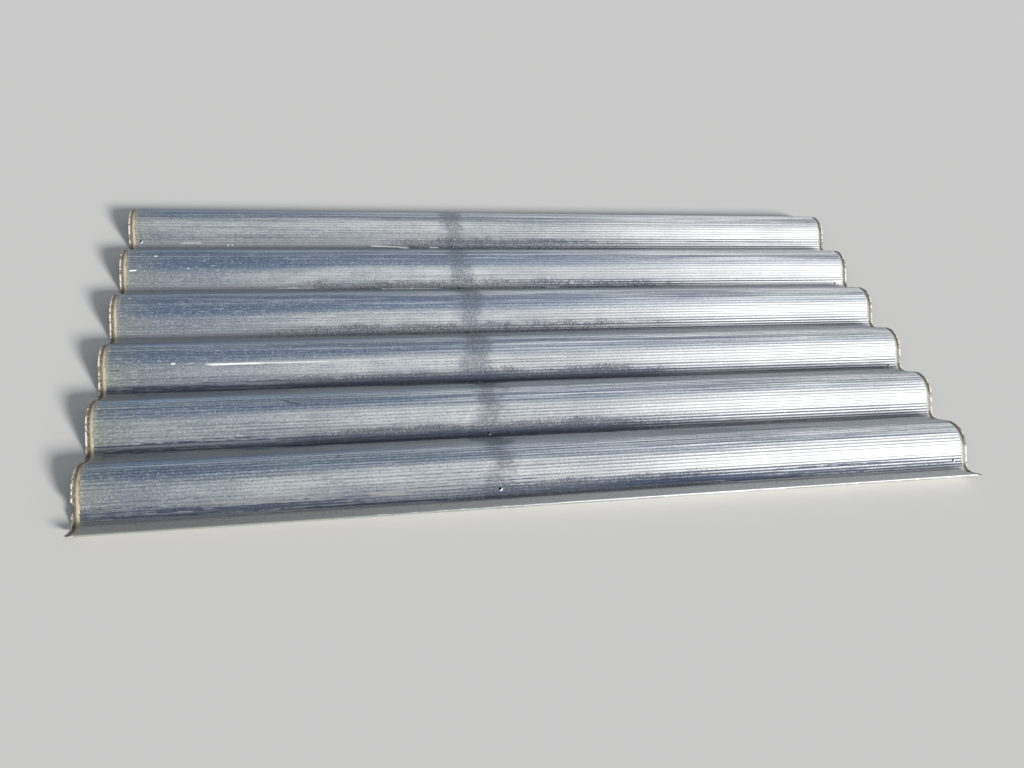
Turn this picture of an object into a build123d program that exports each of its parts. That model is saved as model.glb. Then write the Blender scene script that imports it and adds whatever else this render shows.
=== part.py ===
from build123d import *
import math
import os

# A corrugated twin-wall roofing sheet of clear plastic, lying flat. The waves follow each other
# along Y, the flutes run along X, and Z is up. Origin: on the floor, under the middle of the sheet.
# Millimetres.

# Overall
sheet_length = 2100.0
wave_count = 6
wave_pitch = 177.0
wave_depth = 51.0  # valley to crest, on one skin

# Wave, measured on the middle surface of the sheet
crest_radius = 62.0
valley_radius = 24.0

# Twin-wall section. The flutes repeat with the waves, and a rib stands on every valley line.
sheet_thickness = 5.0
skin_thickness = 0.5
rib_thickness = 0.5
rib_spacing = 7.2  # nominal, rounded to a whole number of flutes in a wave
front_lap_flutes = 7  # from the front valley line to the front edge

# Ends, where the two skins are pressed together and close the flutes
seal_width = 15.0
seal_taper = 3.5
seal_thickness = 1.6

# Screw holes, drilled square to the sheet on the near side of the valleys. Each row gives the flute
# that every hole passes through, counted up the slope from its valley line; valley 0 is the front one.
screw_hole_diameter = 6.5
left_row_from_left = 30.0
middle_row_from_left = 882.0
right_row_from_right = 42.0
left_row_flutes = {5: 4}
middle_row_flutes = {0: 4, 1: 2, 2: 1, 3: 1, 4: 1, 5: 2}
right_row_flutes = {0: 4, 2: 2, 4: 2}

# A piece broken out of the left end, on the front slope
chip_from_valley = 38.0  # along the sheet, from the front valley line to the chip's middle
chip_length = 26.0
chip_depth = 9.0

# The straight flank is tangent to the valley and crest arcs
arc_sum = crest_radius + valley_radius
flank_reach = math.hypot(arc_sum - wave_depth, wave_pitch / 2)
flank_angle = math.atan2(wave_pitch / 2, arc_sum - wave_depth) - math.acos(arc_sum / flank_reach)
flank_length = (wave_pitch / 2 - arc_sum * math.sin(flank_angle)) / math.cos(flank_angle)
valley_arc = valley_radius * flank_angle
crest_arc = crest_radius * flank_angle
half_wave = valley_arc + flank_length + crest_arc

# Flutes and ribs, by their stations: distances along the middle surface from the front valley line
flutes_per_wave = round(2 * half_wave / rib_spacing)
flute_pitch = 2 * half_wave / flutes_per_wave

# Both long edges end with a rib. The front one lies on the flank, or on the valley arc if the lap
# is short, and the back one just past the last valley line.
lap_length = front_lap_flutes * flute_pitch + rib_thickness / 2
lap_angle = min(flank_angle, lap_length / valley_radius)
lap_flank = lap_length - valley_radius * lap_angle
back_angle = rib_thickness / 2 / valley_radius

middle_height = sheet_thickness / 2  # of the middle surface at the valleys
valley_reach = valley_radius * math.sin(flank_angle)
outer_valley_radius = valley_radius + sheet_thickness / 2
front_reach = outer_valley_radius * math.sin(lap_angle) + lap_flank * math.cos(lap_angle)
back_reach = outer_valley_radius * math.sin(back_angle)
sheet_width = front_reach + wave_count * wave_pitch + back_reach
front_valley_y = front_reach - sheet_width / 2
left_end = -sheet_length / 2
right_end = sheet_length / 2


def half_wave_point(distance, rise):
    """Point on the rising half wave, in Y and Z from the valley, and the slope there."""
    if distance <= valley_arc:
        slope = distance / valley_radius
        along = valley_radius * math.sin(slope)
        up = valley_radius * (1 - math.cos(slope))
    elif distance <= valley_arc + flank_length:
        slope = flank_angle
        on_flank = distance - valley_arc
        along = valley_reach + on_flank * math.cos(slope)
        up = valley_radius * (1 - math.cos(slope)) + on_flank * math.sin(slope)
    else:
        slope = (half_wave - distance) / crest_radius
        along = wave_pitch / 2 - crest_radius * math.sin(slope)
        up = wave_depth - crest_radius * (1 - math.cos(slope))
    return along - rise * math.sin(slope), up + rise * math.cos(slope), slope


def wave_point(station, rise=0.0):
    """Y, Z and slope at a distance along the middle surface, counted from the front valley line.

    rise is how far the point stands above the middle surface, square to it.
    """
    wave = math.floor(station / (2 * half_wave))
    distance = station - wave * 2 * half_wave
    falling = distance > half_wave
    if falling:
        distance = 2 * half_wave - distance
    along, up, slope = half_wave_point(distance, rise)
    if falling:
        along = wave_pitch - along
        slope = -slope
    return front_valley_y + wave * wave_pitch + along, middle_height + up, slope


def valley_edge(valley, rise, from_angle, to_angle):
    """Arc of a valley, between two slopes."""
    centre = (front_valley_y + valley * wave_pitch, middle_height + valley_radius)
    start = math.degrees(from_angle) - 90
    return CenterArc(centre, valley_radius - rise, start, math.degrees(to_angle - from_angle))


def crest_edge(wave, rise):
    """Arc of a crest, from the rising flank to the falling one."""
    centre = (front_valley_y + (wave + 0.5) * wave_pitch, middle_height + wave_depth - crest_radius)
    half_turn = math.degrees(flank_angle)
    return CenterArc(centre, crest_radius + rise, 90 + half_turn, -2 * half_turn)


def wave_edges(rise):
    """The whole wave line at one height above the middle surface, from the front edge to the back."""
    edges = []
    if lap_flank > 0:
        start = wave_point(-lap_length, rise)[:2]
        end = wave_point(lap_flank - lap_length, rise)[:2]
        edges.append(Line(start, end))
    edges.append(valley_edge(0, rise, -lap_angle, flank_angle))
    for wave in range(wave_count):
        valley_station = 2 * half_wave * wave
        next_valley = valley_station + 2 * half_wave
        rising_start = wave_point(valley_station + valley_arc, rise)[:2]
        rising_end = wave_point(valley_station + valley_arc + flank_length, rise)[:2]
        falling_start = wave_point(next_valley - valley_arc - flank_length, rise)[:2]
        falling_end = wave_point(next_valley - valley_arc, rise)[:2]
        edges.append(Line(rising_start, rising_end))
        edges.append(crest_edge(wave, rise))
        edges.append(Line(falling_start, falling_end))
        last = wave == wave_count - 1
        edges.append(valley_edge(wave + 1, rise, -flank_angle, back_angle if last else flank_angle))
    return edges


def wave_section(thickness, x):
    """Face of the sheet's outline, this thick, standing across the sheet at x."""
    under = wave_edges(-thickness / 2)
    over = wave_edges(thickness / 2)
    front_edge = Line(under[0] @ 0, over[0] @ 0)
    back_edge = Line(under[-1] @ 1, over[-1] @ 1)
    outline = make_face([*under, *over, front_edge, back_edge])
    return Plane((x, 0, 0), x_dir=(0, 1, 0), z_dir=(1, 0, 0)) * outline


def outer_form():
    """The sheet without its flutes: full thickness between two pressed ends."""
    sections = [
        wave_section(seal_thickness, left_end),
        wave_section(seal_thickness, left_end + seal_width),
        wave_section(sheet_thickness, left_end + seal_width + seal_taper),
        wave_section(sheet_thickness, right_end - seal_width - seal_taper),
        wave_section(seal_thickness, right_end - seal_width),
        wave_section(seal_thickness, right_end),
    ]
    return loft(sections, ruled=True)


def skin_line(first, second, rise):
    """Inner line of a skin between two stations: straight on a flank, an arc in a valley or on a crest."""
    first_y, first_z, first_slope = wave_point(first, rise)
    middle_y, middle_z, _ = wave_point((first + second) / 2, rise)
    second_y, second_z, second_slope = wave_point(second, rise)
    if math.isclose(first_slope, second_slope, abs_tol=1e-9):
        return Line((first_y, first_z), (second_y, second_z))
    return ThreePointArc((first_y, first_z), (middle_y, middle_z), (second_y, second_z))


def flutes():
    """The long channels between the skins, one between each two ribs."""
    half_height = sheet_thickness / 2 - skin_thickness
    start_x = left_end + seal_width + seal_taper
    across = Plane((start_x, 0, 0), x_dir=(0, 1, 0), z_dir=(1, 0, 0))
    length = sheet_length - 2 * (seal_width + seal_taper)
    channels = []
    for number in range(-front_lap_flutes, flutes_per_wave * wave_count):
        first = number * flute_pitch + rib_thickness / 2
        second = (number + 1) * flute_pitch - rib_thickness / 2
        under = skin_line(first, second, -half_height)
        over = skin_line(first, second, half_height)
        profile = make_face([under, over, Line(under @ 0, over @ 0), Line(under @ 1, over @ 1)])
        channels.append(extrude(across * profile, amount=length))
    return channels


def square_to_sheet(x, station):
    """Plane on the middle surface, with its normal pointing out of the top skin."""
    y, z, slope = wave_point(station)
    return Plane((x, y, z), x_dir=(1, 0, 0), z_dir=(0, -math.sin(slope), math.cos(slope)))


def screw_holes():
    """Drills for the three rows of screw holes, each in the middle of its flute."""
    rows = [
        (left_end + left_row_from_left, left_row_flutes),
        (left_end + middle_row_from_left, middle_row_flutes),
        (right_end - right_row_from_right, right_row_flutes),
    ]
    drills = []
    for x, flutes in rows:
        for valley, flute in flutes.items():
            station = 2 * half_wave * valley + (flute - 0.5) * flute_pitch
            drill = Cylinder(screw_hole_diameter / 2, 4 * sheet_thickness)
            drills.append(square_to_sheet(x, station) * drill)
    return drills


def broken_corner():
    """What the chip takes out of the left end."""
    half = chip_length / 2
    outline = Polyline(
        (-1, half),
        (0, half),
        (0.6 * chip_depth, 0.45 * half),
        (chip_depth, 0.2 * half),
        (0.75 * chip_depth, -0.5 * half),
        (0, -half),
        (-1, -half),
        close=True,
    )
    block = extrude(make_face(outline), amount=2 * sheet_thickness, both=True)
    return square_to_sheet(left_end, chip_from_valley) * block


sheet = outer_form()
sheet = sheet - flutes() - screw_holes() - broken_corner()

os.makedirs("parts", exist_ok=True)
export_step(sheet, "parts/corrugated_sheet.step")
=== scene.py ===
import math
import random

import bmesh
import bpy
import numpy as np
from mathutils import Matrix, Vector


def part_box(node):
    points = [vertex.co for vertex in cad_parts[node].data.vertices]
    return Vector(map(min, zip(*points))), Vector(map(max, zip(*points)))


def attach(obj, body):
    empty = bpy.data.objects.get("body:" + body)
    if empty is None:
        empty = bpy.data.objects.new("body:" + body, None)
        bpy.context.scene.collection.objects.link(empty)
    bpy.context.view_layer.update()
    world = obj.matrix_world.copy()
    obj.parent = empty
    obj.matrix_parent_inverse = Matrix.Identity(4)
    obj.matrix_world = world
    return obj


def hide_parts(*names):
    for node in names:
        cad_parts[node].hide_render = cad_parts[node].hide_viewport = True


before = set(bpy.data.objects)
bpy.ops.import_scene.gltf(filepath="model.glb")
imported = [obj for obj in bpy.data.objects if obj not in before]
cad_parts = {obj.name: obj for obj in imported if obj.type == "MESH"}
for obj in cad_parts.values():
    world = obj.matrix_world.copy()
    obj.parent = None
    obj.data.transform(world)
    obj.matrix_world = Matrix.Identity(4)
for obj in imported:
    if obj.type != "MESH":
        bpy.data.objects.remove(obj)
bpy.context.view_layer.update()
print("frame loaded")

# Section and ends of the sheet, in metres. The waves follow each other along Y, the flutes run along X.
sheetSizes = {
    "waveCount": 6,
    "wavePitch": 0.177,
    "waveDepth": 0.051,
    "crestRadius": 0.062,      # of the middle surface, as the valley radius
    "valleyRadius": 0.024,
    "thickness": 0.005,
    "ribThickness": 0.0005,
    "flutesPerWave": 29,
    "frontLapFlutes": 7,       # from the front valley line to the front edge
    "sealWidth": 0.015,        # where the two skins are pressed together
    "sealTaper": 0.0035,
    "sealThickness": 0.0016,
    "edgeRounding": 0.0005,
    "edgeShare": 0.72,         # of the thickness, left at the outer line of the long edges
    "skinSag": 0.00022,        # how far a skin dips between two ribs
    "sagAtEnd": 0.5,           # the share of that dip at the very ends
    "sagAtSeam": 0.9,          # and where the two skins part
    "endWear": 0.0011,         # how ragged the two ends are
    "wearFalloff": 0.6,        # a lower number carries the wear further in
    "seamTeeth": 0.0007,       # how far the seam wanders in and out at each rib
    "teethStart": 0.6,         # of the band's width, where the teeth begin
    "teethEnd": 4,             # a higher number carries them further in
    "waviness": 0.0002,        # slow unevenness of the skins
    "swellTurn": 8.2,          # radians that its first curve turns through from end to end
    "swellShift": 2.1,         # radians between one of its curves and the next
    "sharpAngle": 38,          # degrees; edges that turn more are shaded sharp
}

# Random curves, each with its seed and its number of steps. Those that wear the ends away also have a
# share. Those that make the skins uneven go by side: 1 for the top skin and -1 for the one below.
randomCurves = {
    "leftWear": [(11, 620, 0.55), (12, 70, 0.60)],
    "rightWear": [(13, 540, 0.50), (14, 60, 0.40)],
    1: [(35, 30), (36, 39), (37, 48)],
    -1: [(45, 30), (46, 39), (47, 48)],
}

# Where the points of the mesh lie, and how their stations are found again
meshDetail = {
    "topShares": (0.0, 0.13, 0.5, 0.87),      # of each flute, on the top skin
    "underShares": (0.0, 0.5),                # and on the one below
    "bandShares": (0.22, 0.45, 0.7, 0.92),    # of the width of a pressed end
    "taperSteps": 6,
    "bodyColumns": 36,                        # along X, between the pressed ends
    "bodyInset": 0.003,                       # from the last step of a taper to the first of them
    "wearPoints": 4000,
    "linePoints": 26000,                      # on the fine wave line
    "searchBack": 0.0035,                     # how far in front of a point the search starts
    "searchSteps": 260,
    "uvSize": 2.2,                            # metres across the unit square
}

# The screw holes, row by row: the distance from the left end, and for each valley, counted from the
# front, the flute that its hole passes through, counted up the slope from the valley line
holeSizes = {
    "diameter": 0.0065,
    "rows": [
        (0.030, {5: 4}),
        (0.882, {0: 4, 1: 2, 2: 1, 3: 1, 4: 1, 5: 2}),
        (2.058, {0: 4, 2: 2, 4: 2}),
    ],
    "facets": 20,
    "drillLength": 0.015,
    "shortestEdge": 2e-6,      # shorter edges round a hole are slivers, and go
}

# The piece broken out of the left end, its place measured along the sheet from the front valley line
chipSizes = {
    "fromValley": 0.038,
    "length": 0.026,
    "depth": 0.009,
    "offsets": (-1.0, -0.5, 0.2, 0.45, 1.0),    # along the edge, in half lengths
    "depths": (0.0, 0.75, 1.0, 0.6, 0.0),       # and how deep it cuts there, in depths
}

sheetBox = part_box("corrugated_sheet")
leftEnd = sheetBox[0].x
rightEnd = sheetBox[1].x

# The straight flank touches the valley and crest arcs. A station is a distance along the middle
# surface from the front valley line.
arcSum = sheetSizes["crestRadius"] + sheetSizes["valleyRadius"]
halfPitch = sheetSizes["wavePitch"] / 2
arcDrop = arcSum - sheetSizes["waveDepth"]
flankAngle = math.atan2(halfPitch, arcDrop) - math.acos(arcSum / math.hypot(arcDrop, halfPitch))
flankLength = (halfPitch - arcSum * math.sin(flankAngle)) / math.cos(flankAngle)
valleyArc = sheetSizes["valleyRadius"] * flankAngle
halfWave = valleyArc + flankLength + sheetSizes["crestRadius"] * flankAngle
wholeWave = 2 * halfWave
flutePitch = wholeWave / sheetSizes["flutesPerWave"]
frontStation = -sheetSizes["frontLapFlutes"] * flutePitch - sheetSizes["ribThickness"] / 2
backStation = wholeWave * sheetSizes["waveCount"] + sheetSizes["ribThickness"] / 2
backAngle = sheetSizes["ribThickness"] / 2 / sheetSizes["valleyRadius"]
backReach = (sheetSizes["valleyRadius"] + sheetSizes["thickness"] / 2) * math.sin(backAngle)
frontValleyY = sheetBox[1].y - backReach - sheetSizes["waveCount"] * sheetSizes["wavePitch"]


# Y, Z and slope of the middle surface at an array of stations
def waveLine(station):
    station = np.asarray(station, float)
    wave = np.floor(station / wholeWave)
    inWave = station - wave * wholeWave
    falling = inWave > halfWave
    reach = np.where(falling, wholeWave - inWave, inWave)
    valley = sheetSizes["valleyRadius"]
    crest = sheetSizes["crestRadius"]
    rising = np.minimum(reach / valley, flankAngle)
    slope = np.minimum(rising, (halfWave - reach) / crest)
    onFlank = np.clip(reach - valleyArc, 0, flankLength)
    onCrest = reach > valleyArc + flankLength
    along = valley * np.sin(rising) + onFlank * math.cos(flankAngle)
    along = np.where(onCrest, halfPitch - crest * np.sin(slope), along)
    up = valley * (1 - np.cos(rising)) + onFlank * math.sin(flankAngle)
    up = np.where(onCrest, sheetSizes["waveDepth"] - crest * (1 - np.cos(slope)), up)
    y = frontValleyY + wave * sheetSizes["wavePitch"] + np.where(falling, 2 * halfPitch - along, along)
    return y, up + sheetSizes["thickness"] / 2, np.where(falling, -slope, slope)


# A smooth curve of count values, in this many steps, through random points between -1 and 1
def smoothCurve(seed, count, steps):
    draw = random.Random(seed)
    knots = np.array([draw.uniform(-1, 1) for _ in range(steps + 4)])
    place = np.linspace(1, steps + 1, count)
    low = np.floor(place).astype(int)
    share = place - low
    a, b, c, d = (knots[low + shift] for shift in (-1, 0, 1, 2))
    return b + share / 2 * (c - a + share * (2 * a - 5 * b + 4 * c - d + share * (3 * (b - c) + d - a)))


# Stations across the whole sheet, at these shares of each flute
def fluteStations(shares):
    rounding = sheetSizes["edgeRounding"]
    flutes = range(-sheetSizes["frontLapFlutes"], sheetSizes["flutesPerWave"] * sheetSizes["waveCount"])
    inner = [flutePitch * (flute + share) for flute in flutes for share in shares]
    inner = [s for s in inner if frontStation + 2 * rounding < s < backStation - 2 * rounding]
    return np.array([frontStation, frontStation + rounding, *inner, backStation - rounding, backStation])


# Distances from an end at which the columns stand, with the sheet's thickness at each
def endColumns():
    width = sheetSizes["sealWidth"]
    thin = sheetSizes["sealThickness"]
    rounding = sheetSizes["edgeRounding"]
    steps = meshDetail["taperSteps"]
    columns = [(0.0, thin - rounding), (rounding, thin)]
    columns += [(width * share, thin) for share in meshDetail["bandShares"]]
    for step in range(1, steps + 1):
        share = step / steps
        swelling = (sheetSizes["thickness"] - thin) * math.sin(share * math.pi / 2)
        columns.append((width + sheetSizes["sealTaper"] * share, thin + swelling))
    return columns


# How deep the chip cuts into the left end
def chipReach(station):
    half = chipSizes["length"] / 2
    offsets = [offset * half for offset in chipSizes["offsets"]]
    share = np.interp(station - chipSizes["fromValley"], offsets, chipSizes["depths"], 0, 0)
    return share * chipSizes["depth"]


# How far each of the two worn ends stands back from its true end
def endWear(station):
    place = np.linspace(frontStation, backStation, meshDetail["wearPoints"])
    wear = []
    for side in ("leftWear", "rightWear"):
        curves = [share * smoothCurve(seed, len(place), steps) for seed, steps, share in randomCurves[side]]
        wear.append(np.interp(station, place, np.clip(sum(curves), 0, 1)) * sheetSizes["endWear"])
    left, right = wear
    return np.maximum(left, chipReach(station)), right


# The points of one skin, column by column; side is 1 for the top skin and -1 for the one below
def skinGrid(station, side):
    y, z, slope = waveLine(station)
    share = (station / flutePitch) % 1
    dip = 4 * share * (1 - share)
    teeth = np.cos(2 * np.pi * station / flutePitch)
    edge = np.ones_like(station)
    edge[[0, -1]] = sheetSizes["edgeShare"]
    grid = []

    def addColumn(x, thickness, sagShare):
        lift = side * (thickness / 2 * edge - sagShare * sheetSizes["skinSag"] * dip)
        height = np.clip(z + lift * np.cos(slope), sheetBox[0].z, sheetBox[1].z)
        grid.append(np.stack([x + 0 * station, y - lift * np.sin(slope), height], -1))

    def addEnd(end, inwards, wear, columns):
        reach = columns[-1][0] + sheetSizes["sealTaper"]
        start = sheetSizes["teethStart"]
        sagGain = sheetSizes["sagAtSeam"] - sheetSizes["sagAtEnd"]
        for distance, thickness in columns:
            fading = 1 - distance / reach
            nearSeam = min(1, max(0, distance / sheetSizes["sealWidth"] - start) / (1 - start))
            toothed = sheetSizes["seamTeeth"] * teeth * nearSeam * min(1, sheetSizes["teethEnd"] * fading)
            worn = wear * fading ** sheetSizes["wearFalloff"] + toothed
            sagShare = sheetSizes["sagAtSeam"] - sagGain * fading
            addColumn(end + inwards * (distance + worn), thickness, sagShare)

    leftWear, rightWear = endWear(station)
    columns = endColumns()
    addEnd(leftEnd, 1, leftWear, columns)
    inset = columns[-1][0] + meshDetail["bodyInset"]
    places = np.linspace(leftEnd + inset, rightEnd - inset, meshDetail["bodyColumns"])
    slow = [smoothCurve(seed, len(station), steps) for seed, steps in randomCurves[side]]
    for number, x in enumerate(places):
        turn = sheetSizes["swellTurn"] * number / (len(places) - 1)
        turns = [math.sin((k + 1) * turn + sheetSizes["swellShift"] * k) for k in range(len(slow))]
        swell = sum(curve * strength for curve, strength in zip(slow, turns)) / len(slow)
        addColumn(x, sheetSizes["thickness"] - sheetSizes["waviness"] * (1 + swell), 1.0)
    firstRight = len(grid)
    addEnd(rightEnd, -1, rightWear, columns)
    grid[firstRight:] = grid[:firstRight - 1:-1]    # from the seam out to the end
    return np.array(grid)


# Quads over a grid whose points are numbered column by column from start
def gridFaces(columns, rows, start, flip):
    faces = []
    for column in range(columns - 1):
        for row in range(rows - 1):
            corner = start + column * rows + row
            face = (corner, corner + rows, corner + rows + 1, corner + 1)
            faces.append(face[::-1] if flip else face)
    return faces


# Triangles between two border lines that have different numbers of points
def borderFaces(first, second, flip):
    faces = []
    i = 0
    j = 0
    while i < len(first) - 1 or j < len(second) - 1:
        nextFirst = (i + 1) / (len(first) - 1)
        nextSecond = (j + 1) / (len(second) - 1)
        if nextFirst <= nextSecond:
            face = (first[i], first[i + 1], second[j])
            i += 1
        else:
            face = (first[i], second[j + 1], second[j])
            j += 1
        faces.append(face[::-1] if flip else face)
    return faces


def addObject(name, data):
    added = bpy.data.objects.new(name, data)
    bpy.context.scene.collection.objects.link(added)
    return added


# The whole sheet as one closed mesh: two skins, the pressed ends and the two long edges
def buildSheet():
    over = fluteStations(meshDetail["topShares"])
    under = fluteStations(meshDetail["underShares"])
    overGrid = skinGrid(over, 1)
    underGrid = skinGrid(under, -1)
    columns = len(overGrid)
    underStart = columns * len(over)
    points = np.concatenate([overGrid.reshape(-1, 3), underGrid.reshape(-1, 3)])
    faces = gridFaces(columns, len(over), 0, False) + gridFaces(columns, len(under), underStart, True)
    for column, flip in ((0, False), (columns - 1, True)):
        overLine = [column * len(over) + row for row in range(len(over))]
        underLine = [underStart + column * len(under) + row for row in range(len(under))]
        faces += borderFaces(overLine, underLine, flip)
    for overRow, underRow, flip in ((0, 0, True), (len(over) - 1, len(under) - 1, False)):
        overLine = [column * len(over) + overRow for column in range(columns)]
        underLine = [underStart + column * len(under) + underRow for column in range(columns)]
        faces += borderFaces(overLine, underLine, flip)
    mesh = bpy.data.meshes.new("twinWallSheet")
    mesh.from_pydata(points.tolist(), [], faces)
    return addObject("twin_wall_sheet", mesh)


# Centre and slope of each screw hole
def holePlaces():
    places = []
    for fromLeft, flutes in holeSizes["rows"]:
        for valley, flute in flutes.items():
            station = wholeWave * valley + (flute - 0.5) * flutePitch
            y, z, slope = (float(value) for value in waveLine(station))
            places.append(((leftEnd + fromLeft, y, z), slope))
    return places


# One mesh with a drill at each screw hole, square to the sheet
def drillsMesh():
    drills = bmesh.new()
    radius = holeSizes["diameter"] / 2
    for centre, slope in holePlaces():
        turn = Matrix.Translation(centre) @ Matrix.Rotation(slope, 4, "X")
        bmesh.ops.create_cone(
            drills, cap_ends=True, segments=holeSizes["facets"], radius1=radius, radius2=radius,
            depth=holeSizes["drillLength"], matrix=turn)
    mesh = bpy.data.meshes.new("drills")
    drills.to_mesh(mesh)
    drills.free()
    return mesh


# Splits the many-sided faces round the holes and closes up the slivers beside them
def cleanHoleFaces(mesh):
    shape = bmesh.new()
    shape.from_mesh(mesh)
    bmesh.ops.triangulate(shape, faces=[face for face in shape.faces if len(face.verts) > 4])
    bmesh.ops.dissolve_degenerate(shape, dist=holeSizes["shortestEdge"], edges=shape.edges)
    shape.to_mesh(mesh)
    shape.free()


def drillHoles(piece):
    mesh = drillsMesh()
    drills = addObject("drills", mesh)
    cut = piece.modifiers.new("holes", "BOOLEAN")
    cut.operation = "DIFFERENCE"
    cut.solver = "EXACT"
    cut.object = drills
    bpy.context.view_layer.update()
    drilled = bpy.data.meshes.new_from_object(piece.evaluated_get(bpy.context.evaluated_depsgraph_get()))
    cleanHoleFaces(drilled)
    piece.modifiers.clear()
    piece.data = drilled
    bpy.data.objects.remove(drills)
    bpy.data.meshes.remove(mesh)


# The station of each of these points: the nearest place on the wave line
def nearestStations(points):
    fine = np.linspace(frontStation, backStation, meshDetail["linePoints"])
    lineY, lineZ, _ = waveLine(fine)
    lineY = np.maximum.accumulate(lineY)
    lowest = np.searchsorted(lineY, points[:, 1] - meshDetail["searchBack"])
    best = np.full(len(points), np.inf)
    stations = np.zeros(len(points))
    for step in range(meshDetail["searchSteps"]):
        pick = np.clip(lowest + step, 0, len(fine) - 1)
        gap = (lineY[pick] - points[:, 1]) ** 2 + (lineZ[pick] - points[:, 2]) ** 2
        nearer = gap < best
        best = np.where(nearer, gap, best)
        stations = np.where(nearer, fine[pick], stations)
    return stations


# Writes the stations on the mesh for the materials, and unrolls the sheet for the tangent
def markStations(piece):
    mesh = piece.data
    points = np.zeros(len(mesh.vertices) * 3)
    mesh.vertices.foreach_get("co", points)
    points = points.reshape(-1, 3)
    stations = nearestStations(points)
    attribute = mesh.attributes.new("station", "FLOAT", "POINT")
    attribute.data.foreach_set("value", stations.astype(np.float32))
    corners = np.zeros(len(mesh.loops), int)
    mesh.loops.foreach_get("vertex_index", corners)
    layer = mesh.uv_layers.new(name="UVMap")
    layout = np.stack([stations[corners] - frontStation, points[corners, 0] - leftEnd], -1)
    layer.data.foreach_set("uv", (layout / meshDetail["uvSize"]).ravel().astype(np.float32))


sheetPiece = buildSheet()
print("sheet modelled:", len(sheetPiece.data.vertices), "points")
drillHoles(sheetPiece)
markStations(sheetPiece)
sheetPiece.data.polygons.foreach_set("use_smooth", [True] * len(sheetPiece.data.polygons))
sheetPiece.data.set_sharp_from_angle(angle=math.radians(sheetSizes["sharpAngle"]))
print("holes drilled:", len(sheetPiece.data.polygons), "faces")


# A shader node with its settings; an input given as a socket is linked
def addNode(tree, kind, inputs=None, **settings):
    node = tree.nodes.new(kind)
    for name, value in settings.items():
        setattr(node, name, value)
    for key, value in (inputs or {}).items():
        if isinstance(value, bpy.types.NodeSocket):
            tree.links.new(value, node.inputs[key])
        else:
            node.inputs[key].default_value = value
    return node


def calc(tree, operation, *values):
    return addNode(tree, "ShaderNodeMath", dict(enumerate(values)), operation=operation).outputs[0]


# The product of several shares
def times(tree, *shares):
    product = shares[0]
    for share in shares[1:]:
        product = calc(tree, "MULTIPLY", product, share)
    return product


# The largest of several shares
def largest(tree, *shares):
    most = shares[0]
    for share in shares[1:]:
        most = calc(tree, "MAXIMUM", most, share)
    return most


def distanceFrom(tree, value, place):
    return calc(tree, "ABSOLUTE", calc(tree, "SUBTRACT", value, place))


# Goes smoothly from the first share to the second while the value goes from low to high
def fade(tree, value, low, high, atLow=0.0, atHigh=1.0):
    inputs = {"Value": value, "From Min": low, "From Max": high, "To Min": atLow, "To Max": atHigh}
    return addNode(tree, "ShaderNodeMapRange", inputs, interpolation_type="SMOOTHSTEP").outputs[0]


# Rises between the first two places, and falls again between the last two
def window(tree, value, rise, full, fall, gone, top=1.0):
    return times(tree, fade(tree, value, rise, full), fade(tree, value, gone, fall, 0.0, top))


def mixColour(tree, share, first, second):
    node = tree.nodes.new("ShaderNodeMix")
    node.data_type = "RGBA"
    for key, value in ((0, share), (6, first), (7, second)):    # 6 and 7 are its two colours
        if isinstance(value, bpy.types.NodeSocket):
            tree.links.new(value, node.inputs[key])
        else:
            node.inputs[key].default_value = value if key == 0 else (*value, 1.0)
    return node.outputs[2]


# What a material knows of each spot on the sheet. Lengths are in metres.
def sheetSpot(tree):
    station = addNode(tree, "ShaderNodeAttribute", attribute_name="station").outputs["Fac"]
    point = addNode(tree, "ShaderNodeTexCoord").outputs["Object"]
    split = addNode(tree, "ShaderNodeSeparateXYZ", {0: point})
    fromLeft = calc(tree, "SUBTRACT", split.outputs[0], leftEnd)
    inWave = calc(tree, "WRAP", station, wholeWave, 0.0)
    flute = calc(tree, "DIVIDE", station, flutePitch)
    wave = calc(tree, "FLOOR", calc(tree, "DIVIDE", station, wholeWave))
    numbers = range(sheetSizes["waveCount"])
    onWave = [calc(tree, "COMPARE", wave, float(number), 0.5) for number in numbers]
    return {
        "point": point,
        "height": split.outputs[2],
        "station": station,
        "fromLeft": fromLeft,
        "flat": addNode(tree, "ShaderNodeCombineXYZ", {0: fromLeft, 1: station}).outputs[0],
        "inWave": inWave,                                         # from the valley line in front of it
        "fromValley": calc(tree, "PINGPONG", inWave, halfWave),   # to the nearest valley line
        "fluteShare": calc(tree, "FRACT", flute),                 # from rib to rib
        "fluteNumber": calc(tree, "FLOOR", flute),
        "onWave": onWave,                                         # for each wave, 1 on it and else 0
    }


# Adds noises: what each is laid on, its marks per metre along the three axes, its detail and roughness
def addPatterns(tree, spot, patterns):
    for name, (place, density, detail, roughness) in patterns.items():
        scaled = addNode(tree, "ShaderNodeVectorMath", {0: spot[place], 1: density}, operation="MULTIPLY")
        inputs = {"Vector": scaled.outputs[0], "Scale": 1.0, "Detail": detail, "Roughness": roughness}
        spot[name] = addNode(tree, "ShaderNodeTexNoise", inputs).outputs[0]


# Moves a value by some patterns, by each this far at the most
def wander(tree, spot, value, moves):
    for pattern, reach in moves:
        value = calc(tree, "MULTIPLY_ADD", calc(tree, "SUBTRACT", spot[pattern], 0.5), 2 * reach, value)
    return value


def newMaterial(name):
    material = bpy.data.materials.new(name)
    material.use_nodes = True
    material.node_tree.nodes.clear()
    return material, material.node_tree


def finishMaterial(tree, inputs):
    shader = addNode(tree, "ShaderNodeBsdfPrincipled", inputs)
    addNode(tree, "ShaderNodeOutputMaterial", {0: shader.outputs[0]})


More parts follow.
